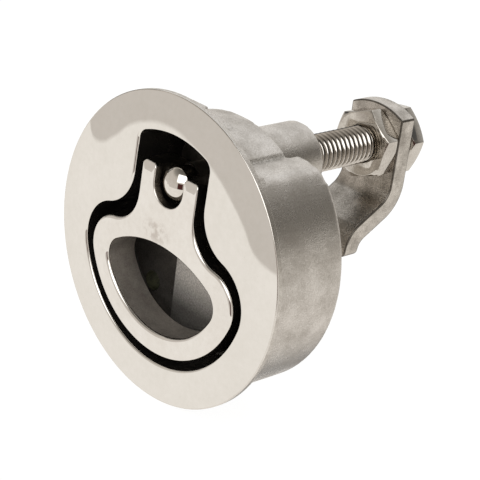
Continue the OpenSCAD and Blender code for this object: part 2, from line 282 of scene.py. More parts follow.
class Shell:
    """A surface built from loops and fills, each vertex with its true normal."""

    def __init__(self) -> None:
        self.vertices: list[Vector] = []
        self.normals: list[Vector] = []
        self.faces: list[tuple[int, ...]] = []
        self.slots: list[int] = []
        self._known: dict[tuple[int, ...], int] = {}

    def vertex(self, place: Vector, normal: Vector) -> int:
        """Adds a vertex, or finds the one that is there with the same normal."""
        key = tuple(round(v * 2000) for v in place) + tuple(round(v * 20) for v in normal)
        if key not in self._known:
            self._known[key] = len(self.vertices)
            self.vertices.append(place)
            self.normals.append(normal.normalized())
        return self._known[key]

    def face(self, corners: Sequence[int], slot: int = 0) -> None:
        """Adds a face, turned to look the way its vertices' normals do."""
        ring = [c for i, c in enumerate(corners) if c != corners[i - 1]]
        if len(set(ring)) < 3:
            return
        a, b, c = (self.vertices[i] for i in ring[:3])
        flat = (b - a).cross(c - a)
        if len(ring) > 3:
            flat += (c - a).cross(self.vertices[ring[3]] - a)
        if flat.dot(sum((self.normals[i] for i in ring), Vector())) < 0:
            ring.reverse()
        self.faces.append(tuple(ring))
        self.slots.append(slot)

    def loft(self, loops: Sequence[Sequence[tuple[Vector, Vector]]], slot: int = 0, closed: bool = True) -> None:
        """Joins loops of as many places and normals with bands of quads."""
        rows = [[self.vertex(p, n) for p, n in loop] for loop in loops]
        for low, high in zip(rows, rows[1:]):
            count = len(low)
            for i in range(count if closed else count - 1):
                j = (i + 1) % count
                self.face((low[i], low[j], high[j], high[i]), slot)

    def fill(
        self,
        outer: Sequence[Vector],
        holes: Sequence[Sequence[Vector]],
        place: Callable[[Vector], tuple[Vector, Vector]],
        slot: int = 0,
        pitch: float = 2.5,
    ) -> None:
        """Fills the area between an outer loop and its holes, with a grid of points inside.

        Args:
            outer: Points of the outer loop in the X-Z plane.
            holes: Points of each hole's loop.
            place: Gives the place and normal in space of a point of the plane.
            slot: The material's index.
            pitch: Distance between the grid's points.
        """
        loops = [list(outer), *[list(h) for h in holes]]
        points = [p for loop in loops for p in loop]
        edges, first = [], 0
        for loop in loops:
            edges += [(first + i, first + (i + 1) % len(loop)) for i in range(len(loop))]
            first += len(loop)
        reach = math.ceil(max(p.length for p in outer) / pitch)
        for i in range(-reach, reach + 1):
            for k in range(-reach, reach + 1):
                p = Vector(((i + 0.5 * (k % 2)) * pitch, k * pitch * 0.87))
                if inside(p, loops) and min((p - q).length for q in points[:first]) > pitch * 0.6:
                    points.append(p)
        flat, _, faces, *_ = delaunay_2d_cdt(points, edges, [], 0, 1e-5)
        placed = [self.vertex(*place(p)) for p in flat]
        for f in faces:
            middle = sum((flat[i] for i in f), Vector((0, 0))) / len(f)
            if inside(middle, loops):
                self.face([placed[i] for i in f], slot)

    def to_object(self, name: str, materials: Sequence[bpy.types.Material]) -> bpy.types.Object:
        """Makes a Blender object, in metres, with the true normals."""
        mesh = bpy.data.meshes.new(name)
        mesh.from_pydata([v * MM for v in self.vertices], [], self.faces)
        for material in materials:
            mesh.materials.append(material)
        mesh.polygons.foreach_set("material_index", self.slots)
        mesh.polygons.foreach_set("use_smooth", [True] * len(mesh.polygons))
        mesh.normals_split_custom_set_from_vertices(self.normals)
        return link(name, mesh)


def inside(p: Vector, loops: Iterable[Sequence[Vector]]) -> bool:
    """Says whether a point lies inside an odd number of loops."""
    odd = False
    for loop in loops:
        for a, b in zip(loop, [*loop[1:], loop[0]]):
            if (a.y > p.y) != (b.y > p.y) and p.x < a.x + (b.x - a.x) * (p.y - a.y) / (b.y - a.y):
                odd = not odd
    return odd


def link(name: str, mesh: bpy.types.Mesh) -> bpy.types.Object:
    """Makes an object of a mesh and puts it in the scene."""
    piece = bpy.data.objects.new(name, mesh)
    bpy.context.scene.collection.objects.link(piece)
    return piece


def at_depth(p: Vector, y: float, z: float = 0.0) -> Vector:
    """A point of the X-Z plane, placed at a depth."""
    return Vector((p.x, y, p.y + z))


def rounded(
    outline: Outline,
    out: int,
    edge: Callable[[Vector], float],
    front: Callable[[Vector], tuple[Vector, Vector]],
    steps: int = 5,
) -> list[list[tuple[Vector, Vector]]]:
    """Loops of a rounded front edge, from the front face to the wall behind it.

    Args:
        outline: The edge's outline at the wall.
        out: 1 where the solid lies outside the outline, -1 where it lies inside.
        edge: Gives the radius of the rounding at a point.
        front: Gives the place and normal on the front face at a point.
        steps: Number of bands.

    Returns:
        Loops of places and normals.
    """
    loops = []
    for i in range(steps + 1):
        a = math.radians(90 * i / steps)
        loop = []
        for p, n in zip(outline.points, outline.normals):
            r = edge(p)
            q = p + n * (out * r * (1 - math.sin(a)))
            place, normal = front(p + n * (out * r))
            side = Vector((n.x, 0, n.y)) * -out
            way = normal * math.cos(a) + side * math.sin(a)
            loop.append((at_depth(q, place.y + r * (1 - math.cos(a))), way.normalized()))
        loops.append(loop)
    return loops


def crown_place(p: Vector) -> tuple[Vector, Vector]:
    """Place and normal on the crowned front at a point of the X-Z plane."""
    s = SIZES
    y = s.crown_y - math.sqrt(s.crown_r**2 - p.length_squared)
    place = Vector((p.x, y, p.y))
    return place, (place - Vector((0, s.crown_y, 0))) / s.crown_r


def ring_place(p: Vector) -> tuple[Vector, Vector]:
    """Place and normal on the handle's front, whose ear tips slope back."""
    s = SIZES
    place, normal = crown_place(p)
    middle = (s.ring.neck + s.slot_half) / 2
    half = (s.ring.neck - s.slot_half) / 2
    side = min(1.0, abs(abs(p.x) - middle) / half)
    over = p.y - (s.ear_top - s.ear_slope - s.ear_scoop * (1 - side**2))
    if over > 0 and p.y > s.axis_z:
        fall = s.ear_drop / (s.ear_slope + s.ear_scoop)
        place.y += fall * over
        normal = normal + Vector((0, 0, fall))
    return place, normal.normalized()


def cast_skin(
    name: str,
    node: str,
    material: bpy.types.Material,
    keep: Callable[[Vector], bool],
    soft: Callable[[Vector], bool],
) -> bpy.types.Object:
    """A CAD node remeshed at an even pitch and smoothed, so that its edges are as soft as a casting's.

    Args:
        name: The new piece's name.
        node: The CAD node.
        material: The piece's material.
        keep: Says which places stay, in millimetres.
        soft: Says which places get a large rounding.

    Returns:
        The new piece.
    """
    pitch, light_rounds, soft_rounds = 0.36, 2, 30
    draft = link(name, bpy.data.objects[node].data.copy())
    voxels = draft.modifiers.new("even_mesh", "REMESH")
    voxels.mode, voxels.voxel_size = "VOXEL", pitch * MM
    graph = bpy.context.evaluated_depsgraph_get()
    mesh = bpy.data.meshes.new_from_object(draft.evaluated_get(graph))
    bpy.data.objects.remove(draft)
    work = bmesh.new()
    work.from_mesh(mesh)
    near = [v for v in work.verts if soft(v.co / MM)]
    axes = {"use_axis_x": True, "use_axis_y": True, "use_axis_z": True}
    for _ in range(light_rounds):
        bmesh.ops.smooth_vert(work, verts=work.verts, factor=0.5, **axes)
    for _ in range(soft_rounds):
        bmesh.ops.smooth_vert(work, verts=near, factor=0.5, **axes)
    gone = [f for f in work.faces if not keep(f.calc_center_median() / MM)]
    bmesh.ops.delete(work, geom=gone, context="FACES")
    work.to_mesh(mesh)
    work.free()
    mesh.name = name
    mesh.materials.clear()
    mesh.materials.append(material)
    mesh.polygons.foreach_set("use_smooth", [True] * len(mesh.polygons))
    return link(name, mesh)


def refined_copy(
    name: str,
    node: str,
    material: bpy.types.Material,
    bevel: float,
    span: tuple[float, float] | None = None,
    edge_material: bpy.types.Material | None = None,
) -> bpy.types.Object:
    """A copy of a CAD node's mesh with its flat faces joined and its edges rounded.

    Args:
        name: The new piece's name.
        node: The CAD node.
        material: The piece's material.
        bevel: Width of the rounding, in millimetres.
        span: Depths in millimetres between which the copy stays.
        edge_material: The rounding's own material, if it has one.

    Returns:
        The new piece.
    """
    source = bpy.data.objects[node]
    work = bmesh.new()
    work.from_mesh(source.data)
    bmesh.ops.remove_doubles(work, verts=work.verts, dist=0.002 * MM)
    for depth, way in zip(span or (), (-1, 1)):
        everything = [*work.verts, *work.edges, *work.faces]
        bmesh.ops.bisect_plane(
            work, geom=everything, plane_co=(0, depth * MM, 0), plane_no=(0, way, 0), clear_outer=True
        )
    bmesh.ops.dissolve_limit(work, angle_limit=math.radians(0.4), verts=work.verts, edges=work.edges)
    mesh = bpy.data.meshes.new(name)
    work.to_mesh(mesh)
    work.free()
    mesh.materials.clear()
    mesh.materials.append(material)
    mesh.polygons.foreach_set("use_smooth", [True] * len(mesh.polygons))
    piece = link(name, mesh)
    edge = piece.modifiers.new("edges", "BEVEL")
    edge.width = bevel * MM
    edge.segments = 3
    edge.limit_method = "ANGLE"
    edge.angle_limit = math.radians(28.0)
    if edge_material:
        mesh.materials.append(edge_material)
        edge.material = 1
    edge.use_clamp_overlap = edge_material is None
    edge.loop_slide = False
    edge.harden_normals = True
    edge.miter_outer = "MITER_ARC"
    return piece


# Materials


class NodeTree:
    """A material's nodes, added one by one."""

    def __init__(self, name: str) -> None:
        self.material = bpy.data.materials.new(name)
        self.material.use_nodes = True
        self.tree = self.material.node_tree
        self.tree.nodes.clear()

    def add(self, kind: str, inputs: dict | None = None, **settings) -> bpy.types.Node:
        """Adds a node.

        Args:
            kind: The node's type name.
            inputs: Values, or sockets to link, by input name or index.
            **settings: Attributes of the node.

        Returns:
            The node.
        """
        return add_node(self.tree, kind, inputs, **settings)


def add_node(tree: bpy.types.NodeTree, kind: str, inputs: dict | None = None, **settings) -> bpy.types.Node:
    """Adds a node to a tree, sets its attributes and fills or links its inputs."""
    node = tree.nodes.new(kind)
    for key, value in settings.items():
        setattr(node, key, value)
    for key, value in (inputs or {}).items():
        if isinstance(value, bpy.types.NodeSocket):
            tree.links.new(value, node.inputs[key])
        else:
            node.inputs[key].default_value = value
    return node


# Painted shade: a dark colour mixed into hollows of the cast cup and into the thread's roots
RECESS_SHADE = "38342E"


@dataclass(frozen=True)
class Stain:
    """A mottled patch mixed into a surface's colour, for marks and for painted shade and painted reflection: its
    centre and reach in millimetres, its colour and how full it is.
    """

    centre: tuple[float, float, float]
    reach: tuple[float, float, float]
    colour: str
    grain_mm: float
    amount: float


@dataclass(frozen=True)
class Finish:
    """How a metal surface looks."""

    name: str
    light: str
    dark: str
    smooth: float
    rough: float
    grain_mm: float
    grain_depth: float
    blotch_mm: float = 6.0
    brush: tuple[float, float, float] = (1.0, 1.0, 1.0)
    # Painted shade in hollows, found by the mesh's pointiness
    crevice_shade: float = 0.0
    # Painted shade: radii between which the thread's roots are darkened
    root: tuple[float, float] | None = None
    metallic: float = 1.0
    # Painted light: half width in millimetres and colour of a lit band near the middle
    band: tuple[float, str] | None = None
    colour_patches: tuple["Stain", ...] = ()


POLISHED = Finish("polished_steel", "E7E4DF", "E1DED8", 0.01, 0.02, 1.4, 0.0004, 9.0)
# Painted reflection: a soft grey patch on the ring's front between the slot and the finger opening
PAINTED_GREY_REFLECTION = Stain((-1.6, -2.1, 3.5), (4.4, 2.0, 2.8), "A3968B", 1.3, 0.5)
RING_POLISH = Finish(
    "polished_ring_steel", "E9E6E1", "E1DDD7", 0.02, 0.04, 1.2, 0.0008, 7.0, colour_patches=(PAINTED_GREY_REFLECTION,)
)
HEAD_POLISH = Finish("polished_head_steel", "E6E2DC", "DAD6CF", 0.03, 0.06, 0.8, 0.001, 3.0)
FLAW = Stain((3.5, 8.0, 24.9), (1.7, 1.7, 1.7), "6E6860", 0.7, 0.6)
# A darker greenish speckled patch on the lower right of the boss
BOSS_DARK_PATCH = Stain((7.6, 26.0, 11.6), (6.2, 6.2, 6.2), "7F7B6C", 0.35, 1.0)
SHADE = Stain((12.7, 10.0, 21.2), (1.2, 12.0, 0.9), "77736A", 0.35, 0.7)
CAST = Finish(
    "cast_steel", "D3CEC8", "A8A29A", 0.22, 0.38, 0.3, 0.05, 5.0, crevice_shade=0.75, colour_patches=(FLAW, BOSS_DARK_PATCH, SHADE)
)
CAST_RIM = Finish("cast_rim_steel", "D0CBC4", "AFA9A1", 0.22, 0.4, 0.3, 0.05, 1.5)
BUFFED = Finish("buffed_rim_steel", "E2DED8", "D5D0C9", 0.14, 0.2, 0.6, 0.002, 4.0)
RING_CAST = Finish("cast_ring_steel", "B3ADA6", "8B857E", 0.3, 0.45, 0.3, 0.03, 4.0, metallic=0.6)
# Painted shade: the handle's outer walls, ear walls and back, deep in the gap round the ring
SHADED_RING_WALL = Finish("ground_ring_steel", "86817A", "5E5A55", 0.26, 0.36, 0.5, 0.004, 3.0)
# The pocket floor: its dark colour is painted shade; a lighter speckled band within 8.2 mm of the middle is a painted
# pool of light, painted darker towards the bottom
FLOOR = Finish(
    "milled_floor_steel", "5F5B56", "423F3B", 0.18, 0.28, 0.4, 0.08, 4.0, metallic=0.2, band=(8.2, "F6F2EB")
)
# The offset bar's rounded edges get a darker colour than its faces
BAR_EDGE = Finish("scaled_edge_steel", "7A746D", "504C46", 0.3, 0.45, 0.3, 0.02, 3.0)
# The pocket's walls: painted shade for the deep, unlit pocket, on top of the casting's own darker tone
POCKET = Finish("dark_cast_steel", "45423E", "2D2B29", 0.26, 0.36, 0.3, 0.008, 4.0, metallic=0.75)
# Painted shade: a dark greenish colour inside the screw holes
SHADED_BORE = Finish("oiled_bore_steel", "6A6B52", "3F4032", 0.35, 0.5, 0.3, 0.02, 2.0, metallic=0.4)
# The thread's roots get painted shade
THREAD = Finish("rolled_thread_steel", "D6D1CA", "B8B2AA", 0.05, 0.1, 0.25, 0.003, 3.0, root=(3.25, 3.7))
SATIN = Finish("satin_bar_steel", "D0CAC2", "948E86", 0.2, 0.34, 0.28, 0.04, 3.0, (1.0, 1.0, 1.4))
BRIGHT = Finish("bright_nut_steel", "CEC9C1", "B0AAA2", 0.05, 0.12, 0.4, 0.003, 4.0)
TURNED = Finish("turned_steel", "A9A39B", "8A847C", 0.25, 0.4, 0.3, 0.006, 3.0, (1.0, 6.0, 1.0))
WIRE = Finish("spring_wire", "8F8D8A", "6B6966", 0.2, 0.35, 0.2, 0.004, 2.0)
RING_DARK = Finish("oiled_ring_steel", "55524F", "3B3937", 0.3, 0.45, 0.2, 0.004, 2.0)


def metal(look: Finish) -> bpy.types.Material:
    """A metal with blotches in its colour and roughness and a fine grain in its surface; some finishes add painted
    shade, painted light and patches.
    """
    t = NodeTree(look.name)
    place = t.add("ShaderNodeTexCoord").outputs["Object"]
    stretch = t.add("ShaderNodeMapping", {"Vector": place, "Scale": look.brush}).outputs["Vector"]
    blotch = t.add(
        "ShaderNodeTexNoise", {"Vector": place, "Scale": 1 / (look.blotch_mm * MM), "Detail": 4.0, "Roughness": 0.6}
    ).outputs["Fac"]
    grain = t.add(
        "ShaderNodeTexNoise", {"Vector": stretch, "Scale": 1 / (look.grain_mm * MM), "Detail": 5.0, "Roughness": 0.65}
    ).outputs["Fac"]
    mixed = t.add("ShaderNodeMath", {0: blotch, 1: grain}, operation="ADD").outputs[0]
    share = t.add("ShaderNodeMapRange", {"Value": mixed, "From Min": 0.75, "From Max": 1.25}).outputs["Result"]
    colour = t.add(
        "ShaderNodeMix", {"Factor": share, 6: linear(look.dark), 7: linear(look.light)}, data_type="RGBA"
    ).outputs[2]
    # Painted shade: hollows of the mesh are darkened
    if look.crevice_shade:
        bend = t.add("ShaderNodeNewGeometry").outputs["Pointiness"]
        hollow = t.add(
            "ShaderNodeMapRange", {"Value": bend, "From Min": 0.495, "From Max": 0.44, "To Max": look.crevice_shade}
        ).outputs["Result"]
        colour = t.add("ShaderNodeMix", {"Factor": hollow, 6: colour, 7: linear(RECESS_SHADE)}, data_type="RGBA").outputs[2]
    # Painted shade: the thread is darkened towards its roots
    if look.root:
        across = t.add("ShaderNodeVectorMath", {0: place, 1: (0, 0, -SIZES.axis_z * MM)}, operation="ADD").outputs[0]
        across = t.add("ShaderNodeVectorMath", {0: across, 1: (1, 0, 1)}, operation="MULTIPLY").outputs[0]
        radius = t.add("ShaderNodeVectorMath", {0: across}, operation="LENGTH").outputs["Value"]
        low, high = (r * MM for r in look.root)
        deep = t.add("ShaderNodeMapRange", {"Value": radius, "From Min": high, "From Max": low}).outputs["Result"]
        colour = t.add("ShaderNodeMix", {"Factor": deep, 6: colour, 7: linear(RECESS_SHADE)}, data_type="RGBA").outputs[2]
    # Painted light: a lighter speckled band near the middle, painted darker towards the bottom
    if look.band:
        half, light_tone = look.band
        x = t.add("ShaderNodeSeparateXYZ", {"Vector": place}).outputs["X"]
        off = t.add("ShaderNodeMath", {0: x}, operation="ABSOLUTE").outputs[0]
        within = t.add(
            "ShaderNodeMapRange", {"Value": off, "From Min": (half + 0.1) * MM, "From Max": (half - 0.1) * MM}
        ).outputs["Result"]
        z = t.add("ShaderNodeSeparateXYZ", {"Vector": place}).outputs["Z"]
        light_fade = t.add(
            "ShaderNodeMapRange", {"Value": z, "From Min": -17.0 * MM, "From Max": -10.0 * MM, "To Min": 0.12}
        ).outputs["Result"]
        speck = t.add(
            "ShaderNodeMapRange", {"Value": grain, "From Min": 0.4, "From Max": 0.6, "To Min": 0.6}
        ).outputs["Result"]
        within = t.add("ShaderNodeMath", {0: within, 1: light_fade}, operation="MULTIPLY").outputs[0]
        within = t.add("ShaderNodeMath", {0: within, 1: speck}, operation="MULTIPLY").outputs[0]
        colour = t.add(
            "ShaderNodeMix", {"Factor": within, 6: colour, 7: linear(light_tone)}, data_type="RGBA"
        ).outputs[2]
    for colour_patch in look.colour_patches:
        colour = add_colour_patch(t, place, colour, colour_patch)
    rough = t.add(
        "ShaderNodeMapRange", {"Value": share, "To Min": look.rough, "To Max": look.smooth}
    ).outputs["Result"]
    bump = t.add(
        "ShaderNodeBump", {"Height": grain, "Distance": look.grain_depth * MM, "Strength": 1.0}
    ).outputs["Normal"]
    shader = t.add(
        "ShaderNodeBsdfPrincipled", {"Base Color": colour, "Roughness": rough, "Normal": bump, "Metallic": look.metallic}
    )
    t.add("ShaderNodeOutputMaterial", {"Surface": shader.outputs[0]})
    return t.material


def add_colour_patch(
    t: NodeTree, place: bpy.types.NodeSocket, colour: bpy.types.NodeSocket, colour_patch: Stain
) -> bpy.types.NodeSocket:
    """Mixes a mottled patch into a colour.

    Args:
        t: The material's nodes.
        place: The place on the object.
        colour: The colour without the patch.
        colour_patch: The patch.

    Returns:
        The colour with the patch.
    """
    centre = tuple(v * MM for v in colour_patch.centre)
    reach = tuple(v * MM for v in colour_patch.reach)
    away = t.add("ShaderNodeVectorMath", {0: place, 1: centre}, operation="SUBTRACT").outputs[0]
    away = t.add("ShaderNodeVectorMath", {0: away, 1: reach}, operation="DIVIDE").outputs[0]
    away = t.add("ShaderNodeVectorMath", {0: away}, operation="LENGTH").outputs["Value"]
    near = t.add("ShaderNodeMapRange", {"Value": away, "From Min": 1.0, "From Max": 0.4}).outputs["Result"]
    grain = t.add(
        "ShaderNodeTexNoise", {"Vector": place, "Scale": 1 / (colour_patch.grain_mm * MM), "Detail": 3.0}
    ).outputs["Fac"]
    spots = t.add(
        "ShaderNodeMapRange", {"Value": grain, "From Min": 0.4, "From Max": 0.6, "To Max": colour_patch.amount}
    ).outputs["Result"]
    share = t.add("ShaderNodeMath", {0: near, 1: spots}, operation="MULTIPLY").outputs[0]
    return t.add("ShaderNodeMix", {"Factor": share, 6: colour, 7: linear(colour_patch.colour)}, data_type="RGBA").outputs[2]


def rubber() -> bpy.types.Material:
    """The matte black rubber of the shaft seal."""
    t = NodeTree("seal_rubber")
    place = t.add("ShaderNodeTexCoord").outputs["Object"]
    grain = t.add("ShaderNodeTexNoise", {"Vector": place, "Scale": 1 / (0.3 * MM), "Detail": 3.0}).outputs["Fac"]
    colour = t.add("ShaderNodeMix", {"Factor": grain, 6: linear("151515"), 7: linear("262626")}, data_type="RGBA")
    bump = t.add("ShaderNodeBump", {"Height": grain, "Distance": 0.01 * MM}).outputs["Normal"]
    shader = t.add(
        "ShaderNodeBsdfPrincipled", {"Base Color": colour.outputs[2], "Roughness": 0.6, "Normal": bump}
    )
    t.add("ShaderNodeOutputMaterial", {"Surface": shader.outputs[0]})
    return t.material


# Sub-assemblies


class Housing:
    """The cast housing: its polished flange, its dark pocket and its rough cup."""

    def __init__(self, sizes: Sizes) -> None:
        self.sizes = sizes

    def face(self) -> bpy.types.Object:
        """The flange's front, rim and seat, and the pocket's wall and floor."""
        s = self.sizes
        polished, dark, cast, bore, painted_light_floor, buffed = range(6)
        shell = Shell()
        rim = ring_outline((0, 0), s.flange_r)
        edge = rounded(rim, -1, lambda _: s.rim_edge, crown_place, 4)
        pocket = pocket_outline(s)
        lip = rounded(pocket, 1, lambda _: s.pocket_edge, crown_place)
        shell.loft(edge, buffed)
        shell.fill([Vector((p.x, p.z)) for p, _ in edge[0]], [pocket.moved(s.pocket_edge)], crown_place, polished)
        shell.loft(lip, polished)
        self.rim(shell, rim, cast)
        wall = [lip[-1]]
        for depth in (0.6, s.floor_y - s.floor_fillet):
            wall.append([(at_depth(p, depth), Vector((-n.x, 0, -n.y))) for p, n in zip(pocket.points, pocket.normals)])
        # Walls and fillet take the dark finish: painted shade deep in the pocket
        shell.loft(wall, dark)
        shell.loft(self.floor_edge(pocket), dark)
        screws = [ring_outline((x, s.screw_z), s.screw_r) for x in (s.screw_x, -s.screw_x)]
        for screw in screws:
            wall = list(zip(screw.points, screw.normals))
            shell.loft(
                [[(at_depth(p, y), Vector((-n.x, 0, -n.y))) for p, n in wall] for y in (s.floor_y, s.cup_back - 0.3)], bore
            )
        holes = [screw.points for screw in screws] + [ring_outline((0, s.axis_z), s.chamber_r).points]
        # The floor, with its painted shade and painted pool of light
        shell.fill(
            pocket.moved(-s.floor_fillet), holes, lambda p: (at_depth(p, s.floor_y), Vector((0, -1, 0))), painted_light_floor
        )
        looks = (POLISHED, POCKET, CAST_RIM, SHADED_BORE, FLOOR, BUFFED)
        return shell.to_object("flange_and_pocket", [metal(look) for look in looks])

    def rim(self, shell: Shell, rim: Outline, slot: int) -> None:
        """Adds the flange's cast rim, its seat and the hollow fillet down to the cup."""
        s, corner = self.sizes, 0.15
        band = [(s.flange_r, s.rim_front + s.rim_edge, 0.0), (s.flange_r, -corner, 0.0)]
        band += [(s.flange_r - corner * (1 - math.cos(a)), corner * (math.sin(a) - 1), a) for a in self.quarter(3)[1:]]
        shell.loft([[(Vector((n.x * r, y, n.y * r)), Vector((n.x * math.cos(a), math.sin(a), n.y * math.cos(a))))
                     for n in rim.normals] for r, y, a in band], slot)
        root = s.cup_r + s.fillet_r
        flat = Vector((0, 1, 0))
        end = math.degrees(math.asin((s.flat_z + 0.3) / s.cup_r))
        lower = Outline()
        lower.arc((0, 0), 1.0, 180 - end, 360 + end)
        below = lower.normals
        upper = Outline()
        upper.arc((0, 0), 1.0, end, 180 - end)
        above = upper.normals
        inner = s.flange_r - corner
        under = 0.4
        top = [s.neck_r if abs(n.x) * s.neck_r < s.neck_half else s.flat_z / n.y for n in above]
        seat = [[(Vector((n.x * inner, 0, n.y * inner)), flat) for n in above]]
        seat.append([(Vector((n.x * (r - under), 0, n.y * (r - under))), flat) for n, r in zip(above, top)])
        shell.loft(seat, slot, False)
        rows = [[(Vector((n.x * r, 0, n.y * r)), flat) for n in below] for r in (inner, root)]
        for a in self.quarter(5):
            r, y = root - s.fillet_r * math.sin(a), s.fillet_r * (1 - math.cos(a))
            rows.append([(Vector((n.x * r, y, n.y * r)), Vector((n.x * math.sin(a), math.cos(a), n.y * math.sin(a))))
                         for n in below])
        rows.append([(Vector((n.x * (s.cup_r - 0.05), 3.0, n.y * (s.cup_r - 0.05))), Vector((n.x, 0, n.y))) for n in below])
        shell.loft(rows, slot, False)

    def quarter(self, steps: int) -> list[float]:
        """Angles from 0 to a right angle, in radians."""
        return [math.pi / 2 * i / steps for i in range(steps + 1)]

    def floor_edge(self, pocket: Outline) -> list[list[tuple[Vector, Vector]]]:
        """Loops of the hollow fillet between the pocket's wall and its floor."""
        s, loops = self.sizes, []
        for a in self.quarter(4):
            inward = s.floor_fillet * (1 - math.cos(a))
            y = s.floor_y - s.floor_fillet * (1 - math.sin(a))
            loops.append(
                [
                    (at_depth(p - n * inward, y), Vector((-n.x * math.cos(a), -math.sin(a), -n.y * math.cos(a))))
                    for p, n in zip(pocket.points, pocket.normals)
                ]
            )
        return loops

    def is_body(self, p: Vector) -> bool:
        """Says whether a place of the cast skin belongs to the cup behind the flange."""
        s = self.sizes
        across = Vector((p.x, p.z))
        if p.z < s.flat_z - 0.4 and across.length > s.cup_r - 0.8 and p.y < 1.6:
            return False
        if p.y < 0.15:
            return False
        if (Vector((abs(p.x), p.z)) - Vector((s.screw_x, s.screw_z))).length < s.screw_r + 0.3 and p.y < s.cup_back - 0.4:
            return False
        return not (p.y < s.floor_y + 0.6 and inside(across, [self.clear_of]))

    def is_soft(self, p: Vector) -> bool:
        """Says whether a place lies near the soft corner between the cup's flat and its round wall."""
        s = self.sizes
        corner = math.sqrt(s.cup_r**2 - s.flat_z**2)
        return p.y > 1.6 and math.hypot(abs(p.x) - corner, p.z - s.flat_z) < 3.2

    def make(self) -> None:
        """Makes the housing's pieces."""
        self.clear_of = pocket_outline(self.sizes).moved(0.5)
        face = self.face()
        body = cast_skin("cast_cup", "housing", metal(CAST), self.is_body, self.is_soft)
        for piece in (face, body):
            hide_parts("housing")
            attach(piece, Body.CUP.value)


class Handle:
    """The ring handle: its polished front and its cast sides and back."""

    def __init__(self, sizes: Sizes) -> None:
        self.sizes = sizes

    def edge(self, p: Vector) -> float:
        """Radius of the front's rounding: soft round the ring, nearly sharp on the ears."""
        s = self.sizes
        share = min(1.0, max(0.0, (p.y - s.finger_top - 4.0) / 4.0))
        return s.ring_edge + (s.ear_edge - s.ring_edge) * share

    def front(self) -> bpy.types.Object:
        """The crowned front with its rounded edges."""
        s = self.sizes
        shell = Shell()
        outer, hole = handle_outline(s), finger_outline(s)
        shell.fill(outer.moved(-1, self.edge), [hole.moved(1, self.edge)], ring_place, pitch=0.55)
        for outline, out in ((outer, -1), (hole, 1)):
            lip = rounded(outline, out, self.edge, ring_place)
            behind = [(at_depth(p, s.face_depth), -out * Vector((n.x, 0, n.y))) for p, n in zip(outline.points, outline.normals)]
            shell.loft(lip)
            # The outer wall takes the darker finish with painted shade
            shell.loft([lip[-1], behind], 1 if out == 1 else 2)
        return shell.to_object("ring_front", [metal(RING_POLISH), metal(RING_CAST), metal(SHADED_RING_WALL)])

    def back(self) -> bpy.types.Object:
        """The walls and the back: cast inside the finger opening, and darker elsewhere with painted shade for the
        narrow gap round the ring.
        """
        s = self.sizes
        piece = refined_copy("ring_back", "pull_handle", metal(SHADED_RING_WALL), 0.35, (s.face_depth, s.cup_back))
        piece.data.materials.append(metal(RING_CAST))
        for face in piece.data.polygons:
            across = Vector((face.center.x, face.center.z)) / MM
            looks_in = Vector((face.normal.x, face.normal.z)).dot(across + Vector((0, s.finger_r / 3))) < 0
            if looks_in and across.length < s.finger_r + 1.0 and across.y < s.finger_top + 1.0:
                face.material_index = 1
        return piece

    def make(self) -> None:
        """Makes the handle's pieces."""
        for piece in (self.front(), self.back()):
            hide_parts("pull_handle")
            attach(piece, Body.HANDLE.value)


